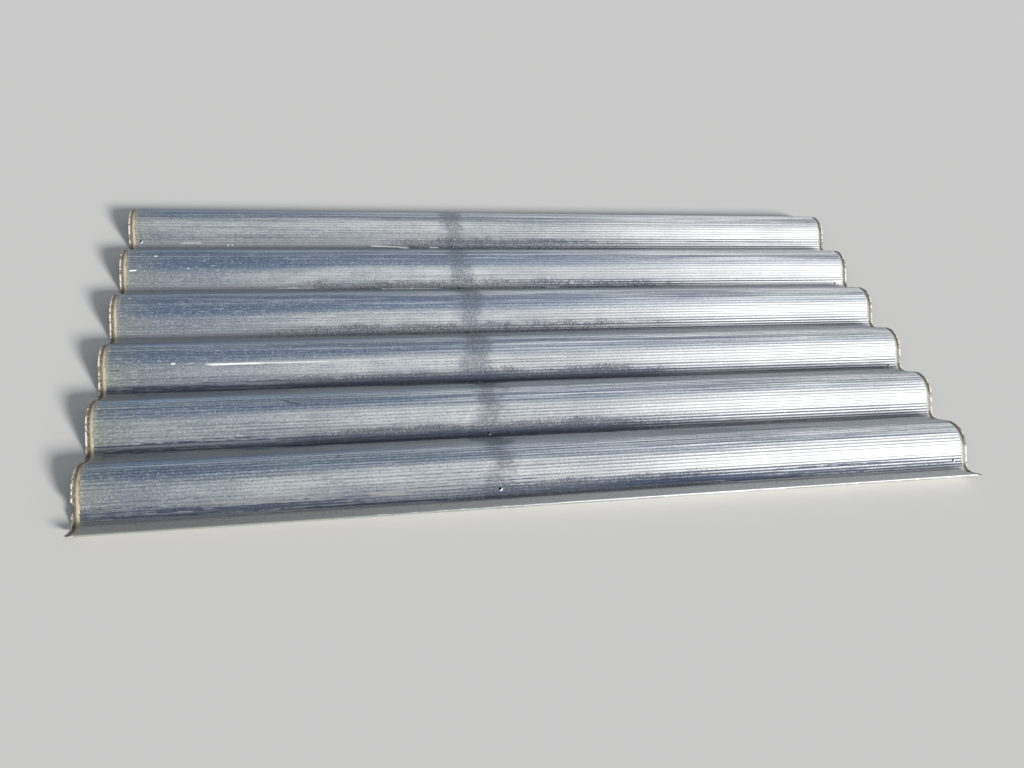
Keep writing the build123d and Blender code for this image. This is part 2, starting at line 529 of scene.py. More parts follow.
# The hazy plastic of the body, its dirt, its painted light and shade, and its gloss
bodyLook = {
    # Colours as they lie on the plastic
    "plastic": (0.108, 0.134, 0.158),
    "clearer": (0.200, 0.216, 0.224),
    "milkyHighlight": (0.580, 0.610, 0.622),        # a painted highlight on the middle of the near slopes, over the milky plastic
    # painted shade below the crests, where the lit slopes turn away
    "crestShade": (0.026, 0.052, 0.108),
    # a painted reflection of a blue sky on the crest tops
    "crestSkyReflection": (0.142, 0.240, 0.372),
    "hazeGlow": (0.740, 0.755, 0.765),         # a painted glow that whitens the sheet towards its right end
    "farRightGlow": (0.960, 0.960, 0.955),     # and a painted glow again at the right end
    "ribLine": (0.012, 0.022, 0.048),
    "fleck": (0.520, 0.530, 0.535),
    "endTint": (0.135, 0.145, 0.105),
    "seamTint": (0.300, 0.270, 0.180),
    "dust": (0.034, 0.038, 0.047),
    # painted shadow in the valleys, cast by the wave or lap in front
    "valleyShadow": (0.011, 0.019, 0.042),
    "backValleyLift": (0.300, 0.315, 0.340),    # painted light that lifts the shade in the back valleys
    # a painted glow of light through the front lap, lighter to the right
    "lapGlowLeft": (0.400, 0.382, 0.345),
    "lapGlowRight": (0.900, 0.872, 0.820),
    # a painted glint on the front edge
    "edge": (0.800, 0.790, 0.760),
    "batten": (0.024, 0.036, 0.054),
    "rust": (0.034, 0.026, 0.034),
    "white": (0.88, 0.88, 0.86),           # scuffs, and the rims of the holes
    "beige": (0.40, 0.35, 0.28),           # smears of dried dirt
    "dark": (0.020, 0.024, 0.034),         # flecks of dirt

    # Gloss and relief
    "gloss": (1.0, 1.0, 1.0),
    "crestSkyTint": (0.76, 0.88, 1.0),       # a painted sky reflection: the crests' gloss is tinted blue
    "dull": (0.20, 0.23, 0.32),            # tints the gloss where dirt and the painted valley shadow lie
    "dullRight": (0.19, 0.215, 0.25),      # the same towards the right end
    "dullShares": {
        "dust": 0.69, "valleyShadow": 0.86, "batten": 0.60, "ribs": 0.52, "darkStripes": 0.90, "footLines": 1.0,
    },
    "matt": 0.95,                          # the roughness of dirt
    "mattShares": {"dustCover": 0.75, "dust": 1.0, "batten": 0.8},
    "ribRoughness": 0.18,                  # more over the ribs
    "anisotropy": 0.70,                    # the ribs spread the gloss across the flutes
    "ior": 2.0,
    "specular": 1.0,
    "reliefDepth": 0.0008,
    "relief": {"dip": -4.0, "streak": 0.5, "grain": 0.25},    # how much each adds, in that depth

    # Noises on the unrolled sheet (flat) or in space (point), as addPatterns takes them
    "patterns": {
        "broad": ("flat", (4.0, 4.0, 4.0), 4.0, 0.60),
        "cloud": ("flat", (9.0, 26.0, 1.0), 3.0, 0.60),
        "streak": ("flat", (1.8, 170.0, 1.0), 3.0, 0.60),    # long and thin, beside the ribs
        "dash": ("flat", (32.0, 150.0, 1.0), 2.0, 0.65),     # short ones
        "stripe": ("flat", (1.6, 95.0, 1.0), 3.0, 0.65),     # wider ones
        "patchy": ("flat", (11.0, 30.0, 1.0), 4.0, 0.70),
        "ragged": ("flat", (300.0, 300.0, 300.0), 2.0, 0.50),
        "grain": ("point", (230.0, 230.0, 230.0), 1.0, 0.70),
        "blot": ("point", (14.0, 14.0, 14.0), 4.0, 0.65),
    },

    # How far those noises move what a layer goes by, at the most
    "moves": {
        "wave": [("broad", 0.010), ("streak", 0.006)],
        "dustHeight": [("patchy", 0.024)],
        "dustStart": [("patchy", 0.10)],
        "dustGrain": [("dustGrain", 1.3)],
        "foot": [("stripe", 0.012)],
        "batten": [("blot", 0.070), ("dash", 0.030)],
        "shadowFilm": [("streak", 0.012)],
        "shadowLine": [("streak", 0.060), ("dash", 0.016)],
        "lap": [("streak", 0.004)],
        "edgeGlint": [("dash", 0.5)],
        "roughness": [("perFlute", -0.05)],
    },

    # Layers across each wave, by the distance past its valley line: where a layer starts, is full,
    # fades and is gone, and its share if that isn't all of it
    "windows": {
        "milkyHighlight": (0.032, 0.056, 0.070, 0.094, 0.34),
        "crestShade": (0.076, 0.096, 0.116, 0.128),
        "crestSkyReflection": (0.120, 0.132, 0.144, 0.160, 0.80),
        "farSlope": (0.100, 0.128, 0.204, wholeWave),
        "glare": (0.036, 0.048, 0.070, 0.084),
        "striped": (0.072, 0.100, 0.190, wholeWave),
        "foot": (0.004, 0.012, 0.032, 0.048),
        "rust": (0.066, 0.084, 0.112, 0.124, 0.45),
        "crestSkyTint": (0.072, 0.096, 0.150, 0.176),
    },

    # Layers that come or go between two values, and their shares at the two if those aren't none and all
    "fades": {
        # by the distance from the left end
        "waveDrop": (0.75, 0.05, 0.0, 0.008),       # metres by which layers lie nearer the front there
        "milkyStart": (-0.05, 0.70),
        "milkyEnd": (1.15, 0.85),
        "leftShade": (0.55, 0.25),
        "crestShade": (0.9, 1.9, 1.0, 0.55),
        "crestSkyReflection": (0.8, 1.3, 1.0, 0.5),
        "farRightGlow": (1.25, 2.0, 0.0, 0.85),
        "endTint": (0.13, 0.02, 0.0, 0.5),
        "seamTint": (0.027, 0.018, 0.0, 0.6),
        "ribs": (0.1, 1.0, 0.60, 1.0),
        "glare": (0.9, 1.7),
        "striped": (0.3, 1.4, 0.25, 1.0),
        "dustLines": (1.1, 1.8, 0.15, 0.7),
        "backValleyLift": (0.7, 1.8),
        "footLines": (0.5, 1.5, 0.25, 0.92),
        "shadowRight": (0.9, 1.9, 0.90),             # its last share comes from each wave
        "lapGlowRight": (0.1, 1.6),
        "edgeGlint": (0.55, 1.25),
        "crestSkyTint": (0.9, 1.7, 1.0, 0.35),
        "dullRight": (1.1, 1.8),
        # by other distances
        "dustMiddle": (0.85, 0.25),                 # from the place where dust lies highest
        "dustHeight": (0.048, 0.014, 0.0, 0.80),    # past the valley line
        "dustStart": (-0.12, 0.10),                 # past where a wave's dust starts
        "dustEnd": (-0.15, 0.20),                   # before where it ends
        "backValleys": (0.38, 0.70),                # station
        "cleanValley": (0.034, 0.010),              # from the nearest valley line
        "batten": (0.050, 0.010),                   # from the batten's middle
        "shadowFilm": (0.019, 0.006, 0.0, 0.36),     # from the line of painted shadow
        "shadowLine": (0.006, 0.002),
        "shadowBack": (0.40, 0.70, 1.0, 0.18),       # station
        "lap": (0.005, -0.007),                     # station
        "edge": (0.0012, 0.0005),                   # from the front edge
        "edgeTop": (0.0, 0.0008),                   # above its middle
        "holeRing": (0.0046, 0.0034),               # from the middle of the whitened spot
        # by a noise
        "clearer": (0.38, 0.62),
        "milkyCloud": (0.35, 0.60, 0.55, 1.15),
        "ribStreak": (0.40, 0.56, 0.45, 1.0),
        "ribDash": (0.38, 0.54, 0.35, 1.0),
        "ribFlute": (0.0, 1.0, 0.50, 1.0),
        "darkStreaks": (0.54, 0.70, 0.0, 0.60),
        "flecks": (0.54, 0.70, 0.0, 0.22),
        "darkStripes": (0.51, 0.60, 0.0, 0.55),
        "paleStripes": (0.50, 0.40, 0.0, 0.60),
        "dustGrain": (0.36, 0.64, 0.0, 0.95),
        "footStreak": (0.36, 0.52, 0.30, 1.0),
        "battenGrain": (0.36, 0.58, 0.25, 0.84),
        "paleSpecks": (0.56, 0.70),
        "darkSpecks": (0.44, 0.30, 0.0, 0.50),
        "holeRagged": (0.3, 0.6, 0.4, 0.9),
        "roughness": (0.3, 0.7, 0.56, 0.50),
        # by the distance from a rib, in flutes, or by the share of another layer
        "rib": (0.26, 0.10),
        "footRib": (0.36, 0.20),
        "ribGlare": (0.0, 1.0, 1.0, 0.30),
        "glowShare": (0.0, 1.0, 0.16, 0.94),        # on the near slopes, and on those that face the back
        "glowStart": (0.0, 1.0, 0.35, 0.0),         # metres from the left end, likewise
        "glowLength": (0.0, 1.0, 1.60, 1.50),       # metres, likewise
        "hazeGlow": (0.0, 1.0),
        "dustAtEnds": (0.0, 1.0, 0.60, 1.0),
        "dustBeyond": (0.0, 1.0, 0.40, 1.0),
        "cleanDust": (0.0, 1.0, 1.0, 0.55),
        "cleanBatten": (0.0, 1.0, 1.0, 0.35),
        "shadowSpecks": (0.0, 0.5, 0.30, 0.08),
    },
    "dustMiddle": 0.95,        # where the dust lies highest, from the left end
    "dustMiddleRise": 0.007,   # and how much further up it reaches there
    "cleanShare": 0.80,        # how far the back valleys take their painted lighter colour
    "battenPlace": 0.887,      # from the left end
    "shadowPlace": 0.011,       # past the valley line
    "holeRingShift": (0.0020, -0.0016, -0.0012),   # from the hole's centre, to the lower right
}

# How each wave has weathered, from the front one back, in metres and shares
waveLook = {
    "crestShift": [-0.006, -0.002, 0.006, 0.016, 0.018, -0.014],   # how far down its layers are moved
    "crestShare": [0.75, 0.80, 0.84, 1.00, 1.00, 0.78],            # how strong the painted shade below its crest is
    "leftHighlight": [0.15, 0.05, 0.0, 0.0, 0.0, 0.80],                # how much painted highlight its left end has
    "leftShade": [0.0, 0.0, 0.09, 0.38, 0.28, 0.0],                # and how far that end is darkened
    "shadowRise": [0.006, 0.001, 0.001, 0.0, 0.0, 0.0],             # how far up its line of painted shadow lies
    "shadowRight": [1.70, 0.50, 0.40, 0.40, 0.40, 0.40],            # how much of the painted shadow lies on the right
    "dustDrop": [0.0, 0.0, 0.003, 0.007, 0.009, 0.002],            # how far down the top of its dust lies
    "dustStart": [0.82, 0.45, 0.40, 0.30, 0.42, 0.72],             # where its dust starts, from the left end
    "dustEnd": [1.45, 1.30, 1.40, 1.50, 1.60, 1.55],               # and where it ends
    "dustShare": [0.85, 1.0, 0.95, 1.0, 1.0, 1.0],                 # and how much of it there is
}

# Scuffs and flecks: x from the left end, station, length, width, turn in degrees, strength and colour
marks = [
    (0.087, 0.944, 0.008, 0.0040, 0, 0.9, "white"),
    (0.033, 0.903, 0.018, 0.0035, 4, 0.9, "white"),
    (0.167, 0.908, 0.007, 0.0030, 0, 0.5, "white"),
    (0.160, 1.075, 0.060, 0.0030, 0, 0.35, "white"),
    (0.257, 1.069, 0.007, 0.0040, 20, 0.8, "white"),
    (0.267, 1.069, 0.006, 0.0040, -20, 0.8, "white"),
    (0.262, 1.069, 0.005, 0.0040, 0, 0.9, "dark"),
    (0.042, 0.746, 0.006, 0.0030, 0, 0.5, "white"),
    (0.700, 1.065, 0.110, 0.0040, -3, 0.9, "white"),
    (0.742, 1.061, 0.030, 0.0070, -6, 0.95, "white"),
    (0.829, 1.062, 0.028, 0.0056, 0, 0.85, "white"),
    (0.440, 0.853, 0.110, 0.0032, 0, 0.55, "white"),
    (0.431, 0.854, 0.028, 0.0030, 0, 0.7, "white"),
    (0.748, 0.848, 0.170, 0.0036, 0, 0.8, "white"),
    (0.748, 0.848, 0.010, 0.0060, 30, 0.8, "white"),
    (0.671, 0.848, 0.009, 0.0050, 0, 0.8, "white"),
    (0.990, 0.849, 0.190, 0.0036, 0, 0.60, "beige"),
    (1.150, 0.850, 0.045, 0.0034, 0, 0.55, "white"),
    (1.200, 0.848, 0.006, 0.0045, 0, 0.95, "dark"),
    (1.208, 0.864, 0.013, 0.0030, 30, 0.35, "white"),
    (1.214, 0.861, 0.008, 0.0030, -35, 0.35, "white"),
    (0.298, 0.488, 0.130, 0.0042, 0, 0.95, "white"),
    (0.430, 0.488, 0.180, 0.0034, 0, 0.60, "white"),
    (0.590, 0.488, 0.200, 0.0026, 0, 0.35, "white"),
    (0.163, 0.492, 0.010, 0.0045, 0, 0.6, "white"),
    (0.635, 0.029, 0.090, 0.0070, -2, 0.30, "beige"),
    (0.350, 0.029, 0.190, 0.0035, -2, 0.22, "beige"),
    (0.037, 0.480, 0.022, 0.0040, 0, 0.9, "dark"),
    (0.418, 0.321, 0.020, 0.0044, -25, 0.95, "dark"),
    (0.430, 0.316, 0.030, 0.0044, -25, 0.95, "dark"),
    (0.443, 0.312, 0.020, 0.0040, -25, 0.90, "dark"),
    (0.530, 0.122, 0.014, 0.0060, 60, 0.7, "dark"),
    (0.590, 0.119, 0.013, 0.0035, 50, 0.6, "dark"),
    (0.604, 0.124, 0.012, 0.0030, -50, 0.5, "dark"),
    (0.325, 0.066, 0.018, 0.0025, -25, 0.4, "dark"),
    (0.212, 0.024, 0.005, 0.0030, 0, 0.5, "dark"),
]

# How soft and ragged the marks are, in shares of their length and width
markEdges = {
    "ends": (0.55, 0.35),      # half lengths where a mark is gone, and where it is full
    "sides": (0.6, 0.3),       # half widths likewise
    "ragged": 0.3,
}


# A fade, a window or the moves of the body's look, by name
def bodyFade(tree, value, name, *shares):
    return fade(tree, value, *bodyLook["fades"][name], *shares)


def bodyWindow(tree, value, name):
    return window(tree, value, *bodyLook["windows"][name])


def bodyWander(tree, spot, value, name):
    return wander(tree, spot, value, bodyLook["moves"][name])


# What a wave's own look gives at a spot; 0 on the front lap
def byWave(tree, spot, name):
    total = 0.0
    for onWave, value in zip(spot["onWave"], waveLook[name]):
        total = calc(tree, "MULTIPLY_ADD", onWave, value, total)
    return total


# The largest of several layers, each taken at its own share
def strongest(tree, spot, shares):
    return largest(tree, *(times(tree, spot[name], share) for name, share in shares.items()))


# What the body's layers go by, beside the plain places
def bodySpot(tree):
    spot = sheetSpot(tree)
    addPatterns(tree, spot, bodyLook["patterns"])
    perFlute = addNode(tree, "ShaderNodeTexWhiteNoise", {"W": spot["fluteNumber"]}, noise_dimensions="1D")
    drop = bodyFade(tree, spot["fromLeft"], "waveDrop")
    spot["perFlute"] = perFlute.outputs[0]
    spot["fromRib"] = calc(tree, "PINGPONG", spot["fluteShare"], 0.5)
    spot["acrossWave"] = calc(tree, "ADD", bodyWander(tree, spot, spot["inWave"], "wave"), drop)
    spot["toCrest"] = calc(tree, "ADD", spot["acrossWave"], byWave(tree, spot, "crestShift"))
    spot["farSlope"] = bodyWindow(tree, spot["inWave"], "farSlope")
    # the back valleys carry less dust and a painted light that lifts their shade
    backValleys = bodyFade(tree, spot["station"], "backValleys")
    spot["clean"] = times(tree, backValleys, bodyFade(tree, spot["fromValley"], "cleanValley"))
    return spot


# Each layer below paints over the colour that it is given. What later layers and the gloss need of it
# goes into spot.

# Clouded plastic: a painted highlight up the middle of the near slopes, painted shade in navy below the
# crests and on the left ends of the middle waves, and a painted sky reflection in pale blue on top of them
def paintPlastic(tree, spot):
    fromLeft = spot["fromLeft"]
    clearer = bodyFade(tree, spot["broad"], "clearer")
    colour = mixColour(tree, clearer, bodyLook["plastic"], bodyLook["clearer"])
    # painted highlight, milky, on the middle of the near slopes
    milkyHighlight = times(
        tree,
        bodyWindow(tree, spot["toCrest"], "milkyHighlight"),
        largest(tree, bodyFade(tree, fromLeft, "milkyStart"), byWave(tree, spot, "leftHighlight")),
        bodyFade(tree, fromLeft, "milkyEnd"),
        bodyFade(tree, spot["cloud"], "milkyCloud"),
    )
    colour = mixColour(tree, milkyHighlight, colour, bodyLook["milkyHighlight"])
    # painted shade on the left ends of the middle waves
    shade = times(tree, byWave(tree, spot, "leftShade"), bodyFade(tree, fromLeft, "leftShade"))
    colour = mixColour(tree, shade, colour, bodyLook["crestShade"])
    # painted shade in a navy band below each crest
    start, full, fall, gone = bodyLook["windows"]["crestShade"]
    crestShade = times(
        tree,
        fade(tree, spot["toCrest"], start, full),
        fade(tree, spot["acrossWave"], gone, fall),
        byWave(tree, spot, "crestShare"),
        bodyFade(tree, fromLeft, "crestShade"),
    )
    colour = mixColour(tree, crestShade, colour, bodyLook["crestShade"])
    # painted sky reflection in pale blue on top of the crests
    crestSkyReflection = times(
        tree, bodyWindow(tree, spot["acrossWave"], "crestSkyReflection"), bodyFade(tree, fromLeft, "crestSkyReflection"))
    return mixColour(tree, crestSkyReflection, colour, bodyLook["crestSkyReflection"])


# A painted glow of light, whiter to the right and mostly on the far slopes, and yellower at the left end
def paintHazeGlow(tree, spot, colour):
    fromLeft = spot["fromLeft"]
    farSlope = spot["farSlope"]
    start = bodyFade(tree, farSlope, "glowStart")
    length = bodyFade(tree, farSlope, "glowLength")
    rightwards = calc(tree, "DIVIDE", calc(tree, "SUBTRACT", fromLeft, start), length)
    hazeGlow = times(tree, bodyFade(tree, farSlope, "glowShare"), bodyFade(tree, rightwards, "hazeGlow"))
    colour = mixColour(tree, hazeGlow, colour, bodyLook["hazeGlow"])
    farRightGlow = times(tree, farSlope, bodyFade(tree, fromLeft, "farRightGlow"))
    colour = mixColour(tree, farRightGlow, colour, bodyLook["farRightGlow"])
    for tint in ("endTint", "seamTint"):
        colour = mixColour(tree, bodyFade(tree, fromLeft, tint), colour, bodyLook[tint])
    return colour


# The ribs show through as broken dark lines, with streaks and flecks between them
def paintRibs(tree, spot, colour):
    fromLeft = spot["fromLeft"]
    glare = times(tree, bodyWindow(tree, spot["acrossWave"], "glare"), bodyFade(tree, fromLeft, "glare"))
    spot["ribs"] = times(
        tree,
        bodyFade(tree, spot["fromRib"], "rib"),
        bodyFade(tree, spot["streak"], "ribStreak"),
        bodyFade(tree, spot["perFlute"], "ribFlute"),
        bodyFade(tree, spot["dash"], "ribDash"),
        bodyFade(tree, fromLeft, "ribs"),
        bodyFade(tree, glare, "ribGlare"),
    )
    colour = mixColour(tree, spot["ribs"], colour, bodyLook["ribLine"])
    colour = mixColour(tree, bodyFade(tree, spot["streak"], "darkStreaks"), colour, bodyLook["ribLine"])
    return mixColour(tree, bodyFade(tree, spot["dash"], "flecks"), colour, bodyLook["fleck"])


# Long stripes run along the crests and the far slopes
def paintStripes(tree, spot, colour):
    striped = times(
        tree, bodyWindow(tree, spot["inWave"], "striped"), bodyFade(tree, spot["fromLeft"], "striped"))
    spot["darkStripes"] = times(tree, striped, bodyFade(tree, spot["stripe"], "darkStripes"))
    colour = mixColour(tree, spot["darkStripes"], colour, bodyLook["crestShade"])
    pale = times(tree, striped, bodyFade(tree, spot["stripe"], "paleStripes"))
    return mixColour(tree, pale, colour, bodyLook["hazeGlow"])


# Dust lies on the lower part of each near slope, in grains that thin out upwards
def paintDust(tree, spot, colour):
    fromLeft = spot["fromLeft"]
    middle = bodyFade(tree, distanceFrom(tree, fromLeft, bodyLook["dustMiddle"]), "dustMiddle")
    height = bodyWander(tree, spot, spot["inWave"], "dustHeight")
    height = calc(tree, "MULTIPLY_ADD", middle, -bodyLook["dustMiddleRise"], height)
    height = calc(tree, "ADD", height, byWave(tree, spot, "dustDrop"))
    pastStart = bodyWander(tree, spot, fromLeft, "dustStart")
    pastStart = calc(tree, "SUBTRACT", pastStart, byWave(tree, spot, "dustStart"))
    beforeEnd = calc(tree, "SUBTRACT", byWave(tree, spot, "dustEnd"), fromLeft)
    within = times(
        tree,
        bodyFade(tree, pastStart, "dustStart"),
        bodyFade(tree, beforeEnd, "dustEnd"),
        byWave(tree, spot, "dustShare"),
    )
    spot["dustCover"] = times(
        tree,
        bodyFade(tree, height, "dustHeight"),
        bodyFade(tree, middle, "dustAtEnds"),
        bodyFade(tree, within, "dustBeyond"),
        bodyFade(tree, spot["clean"], "cleanDust"),
    )
    lines = times(
        tree, calc(tree, "SUBTRACT", spot["streak"], spot["grain"]), bodyFade(tree, fromLeft, "dustLines"))
    spot["dustGrain"] = calc(tree, "ADD", spot["grain"], lines)
    spot["dust"] = bodyFade(tree, bodyWander(tree, spot, spot["dustCover"], "dustGrain"), "dustGrain")
    # painted light in the back valleys, whiter to the right
    valley = mixColour(tree, bodyFade(tree, fromLeft, "backValleyLift"), bodyLook["backValleyLift"], bodyLook["hazeGlow"])
    colour = mixColour(tree, times(tree, spot["clean"], bodyLook["cleanShare"]), colour, valley)
    return mixColour(tree, spot["dust"], colour, bodyLook["dust"])


# Dark lines over the ribs at the foot of each near slope
def paintFootLines(tree, spot, colour):
    foot = calc(tree, "ADD", spot["inWave"], byWave(tree, spot, "dustDrop"))
    spot["footLines"] = times(
        tree,
        bodyWindow(tree, bodyWander(tree, spot, foot, "foot"), "foot"),
        bodyFade(tree, spot["fromRib"], "footRib"),
        bodyFade(tree, spot["streak"], "footStreak"),
        bodyFade(tree, spot["fromLeft"], "footLines"),
    )
    return mixColour(tree, spot["footLines"], colour, bodyLook["ribLine"])


# A dark smear where the sheet lay on a batten, rusty near the crests
def paintBatten(tree, spot, colour):
    fromBatten = distanceFrom(tree, spot["fromLeft"], bodyLook["battenPlace"])
    spot["batten"] = times(
        tree,
        bodyFade(tree, bodyWander(tree, spot, fromBatten, "batten"), "batten"),
        bodyFade(tree, spot["grain"], "battenGrain"),
        bodyFade(tree, spot["clean"], "cleanBatten"),
    )
    colour = mixColour(tree, spot["batten"], colour, bodyLook["batten"])
    rust = times(tree, spot["batten"], bodyWindow(tree, spot["inWave"], "rust"))
    return mixColour(tree, rust, colour, bodyLook["rust"])


# Painted shadow from the wave in front lies in the valleys, as a film and a line, less to the right and the
# back
def paintValleyShadow(tree, spot, colour):
    rise = calc(tree, "ADD", byWave(tree, spot, "shadowRise"), bodyLook["shadowPlace"])
    fromShadow = calc(tree, "PINGPONG", calc(tree, "SUBTRACT", spot["inWave"], rise), halfWave)
    film, line = (
        bodyFade(tree, bodyWander(tree, spot, fromShadow, name), name) for name in ("shadowFilm", "shadowLine"))
    spot["valleyShadow"] = times(
        tree,
        largest(tree, film, line),
        bodyFade(tree, spot["fromLeft"], "shadowRight", byWave(tree, spot, "shadowRight")),
        bodyFade(tree, spot["station"], "shadowBack"),
    )
    return mixColour(tree, spot["valleyShadow"], colour, bodyLook["valleyShadow"])


# The front lap gets a painted glow of light through it, lighter to the right, over the painted valley shadow
def paintLapGlow(tree, spot, colour):
    right = bodyFade(tree, spot["fromLeft"], "lapGlowRight")
    lap = mixColour(tree, right, bodyLook["lapGlowLeft"], bodyLook["lapGlowRight"])
    share = bodyFade(tree, bodyWander(tree, spot, spot["station"], "lap"), "lap")
    return mixColour(tree, share, colour, lap)


# Pale and dark specks over everything, with fewer pale ones in the painted valley shadow
def paintSpecks(tree, spot, colour):
    grain = spot["grain"]
    pale = times(tree, bodyFade(tree, grain, "paleSpecks"), bodyFade(tree, spot["valleyShadow"], "shadowSpecks"))
    colour = mixColour(tree, pale, colour, bodyLook["fleck"])
    return mixColour(tree, bodyFade(tree, grain, "darkSpecks"), colour, bodyLook["ribLine"])


# The share of a surface that a mark covers
def markShare(tree, spot, mark):
    x, station, length, width, turn, strength, _ = mark
    along = calc(tree, "SUBTRACT", spot["fromLeft"], x)
    across = calc(tree, "SUBTRACT", spot["station"], station)
    if turn:
        cosine = math.cos(math.radians(turn))
        sine = math.sin(math.radians(turn))
        turned = calc(tree, "ADD", times(tree, along, cosine), times(tree, across, sine))
        across = calc(tree, "SUBTRACT", times(tree, across, cosine), times(tree, along, sine))
        along = turned
    across = wander(tree, spot, across, [("ragged", markEdges["ragged"] * width)])
    ends = [share * length for share in markEdges["ends"]]
    sides = [share * width for share in markEdges["sides"]]
    inLength = fade(tree, calc(tree, "ABSOLUTE", along), *ends, 0.0, strength)
    return times(tree, inLength, fade(tree, calc(tree, "ABSOLUTE", across), *sides))


# The scuffs and flecks; white ones bare the plastic, which then shines
def paintMarks(tree, spot, colour):
    spot["bare"] = 0.0
    for mark in marks:
        share = markShare(tree, spot, mark)
        colour = mixColour(tree, share, colour, bodyLook[mark[-1]])
        if mark[-1] == "white":
            spot["bare"] = largest(tree, spot["bare"], share)
    return colour


# Whitened plastic at the lower right of each screw hole
def paintHoleRings(tree, spot, colour):
    distances = []
    for centre, _ in holePlaces():
        target = tuple(place + shift for place, shift in zip(centre, bodyLook["holeRingShift"]))
        inputs = {0: spot["point"], 1: target}
        distance = addNode(tree, "ShaderNodeVectorMath", inputs, operation="DISTANCE")
        distances.append(distance.outputs["Value"])
    nearest = distances[0]
    for distance in distances[1:]:
        nearest = calc(tree, "MINIMUM", nearest, distance)
    ring = times(tree, bodyFade(tree, nearest, "holeRing"), bodyFade(tree, spot["ragged"], "holeRagged"))
    return mixColour(tree, ring, colour, bodyLook["white"])


# The front edge, with a painted glint on its upper half that grows towards the right
def paintFrontEdge(tree, spot, colour):
    edge = bodyFade(tree, calc(tree, "SUBTRACT", spot["station"], frontStation), "edge")
    colour = mixColour(tree, edge, colour, bodyLook["endTint"])
    aboveMiddle = calc(tree, "SUBTRACT", spot["height"], float(waveLine(frontStation)[1]))
    # painted glint on the upper half of the front edge
    worn = times(
        tree,
        edge,
        bodyFade(tree, aboveMiddle, "edgeTop"),
        bodyFade(tree, bodyWander(tree, spot, spot["fromLeft"], "edgeGlint"), "edgeGlint"),
    )
    return mixColour(tree, worn, colour, bodyLook["edge"])


# Dust and the batten's smear are matt
def bodyRoughness(tree, spot):
    rough = bodyWander(tree, spot, bodyFade(tree, spot["broad"], "roughness"), "roughness")
    rough = calc(tree, "MULTIPLY_ADD", spot["ribs"], bodyLook["ribRoughness"], rough)
    missing = calc(tree, "SUBTRACT", bodyLook["matt"], rough)
    return calc(tree, "MULTIPLY_ADD", strongest(tree, spot, bodyLook["mattShares"]), missing, rough)


# A painted sky reflection tints the crests' gloss blue, and dirt and the painted valley shadow dull the
# gloss
def bodyGloss(tree, spot):
    fromLeft = spot["fromLeft"]
    # painted sky reflection: blue gloss on the crests
    blue = bodyWindow(tree, spot["toCrest"], "crestSkyTint")
    blue = times(tree, blue, bodyFade(tree, fromLeft, "crestSkyTint"))
    gloss = mixColour(tree, blue, bodyLook["gloss"], bodyLook["crestSkyTint"])
    tint = mixColour(tree, bodyFade(tree, fromLeft, "dullRight"), bodyLook["dull"], bodyLook["dullRight"])
    dirty = strongest(tree, spot, bodyLook["dullShares"])
    dull = times(tree, dirty, calc(tree, "SUBTRACT", 1.0, spot["bare"]))
    return mixColour(tree, dull, gloss, tint)


# The skins dip between their ribs, under streaks and grains
def bodyRelief(tree, spot):
    spot["dip"] = times(tree, spot["fluteShare"], calc(tree, "SUBTRACT", 1.0, spot["fluteShare"]))
    relief = 0.0
    for name, height in bodyLook["relief"].items():
        relief = calc(tree, "MULTIPLY_ADD", spot[name], height, relief)
    inputs = {"Strength": 1.0, "Distance": bodyLook["reliefDepth"], "Height": relief}
    return addNode(tree, "ShaderNodeBump", inputs).outputs[0]


def paintBody():
    material, tree = newMaterial("hazyPlastic")
    spot = bodySpot(tree)
    colour = paintPlastic(tree, spot)
    layers = (
        paintHazeGlow, paintRibs, paintStripes, paintDust, paintFootLines, paintBatten, paintValleyShadow, paintLapGlow,
        paintSpecks, paintMarks, paintHoleRings, paintFrontEdge,
    )
    for layer in layers:
        colour = layer(tree, spot, colour)
    tangent = addNode(tree, "ShaderNodeTangent", direction_type="UV_MAP", uv_map="UVMap")
    finishMaterial(tree, {
        "Base Color": colour,
        "Roughness": bodyRoughness(tree, spot),
        "Normal": bodyRelief(tree, spot),
        "Tangent": tangent.outputs[0],
        "IOR": bodyLook["ior"],
        "Specular IOR Level": bodyLook["specular"],
        "Specular Tint": bodyGloss(tree, spot),
        "Anisotropic": bodyLook["anisotropy"],
    })
    return material


# The pressed ends: yellowed plastic with grit under it, between a worn outer edge with a painted glint
# and a clean inner line. Distances are in metres from the end, and shares and noises as in the body's look.
bandLook = {
    "left": (0.230, 0.190, 0.135),
    "right": (0.170, 0.176, 0.146),
    "grit": (0.055, 0.046, 0.038),
    "innerLeft": (0.460, 0.410, 0.290),
    "innerRight": (0.300, 0.300, 0.250),
    # the worn outer edge, with a painted glint
    "edge": (0.740, 0.700, 0.600),
    "roughness": 0.45,
    "alpha": 0.86,
    "patterns": {
        "grit": ("point", (210.0, 210.0, 210.0), 3.0, 0.70),
        "worn": ("point", (110.0, 110.0, 110.0), 2.0, 0.50),
    },
    "moves": [("grit", 0.002)],
    "toRight": (0.5, 1.5),                 # by the distance from the left end
    "gritFade": (0.44, 0.60, 0.0, 0.85),
    "innerFade": (0.0095, 0.0115, 0.0, 0.85),
    "lineMiddle": 0.0075,                  # a line of grit runs along the band
    "lineFade": (0.0016, 0.0006),          # by the distance from its middle
    "lineShares": (0.2, 0.8),              # at the left end and at the right
    "edgeFade": (0.0046, 0.0026),
    "wornGlintFade": (0.44, 0.54, 0.08, 0.95),
    "reliefStrength": 0.6,
    "reliefDepth": 0.0003,
    "reach": 0.9,                          # of the pressed width, measured at the middle of each face
}


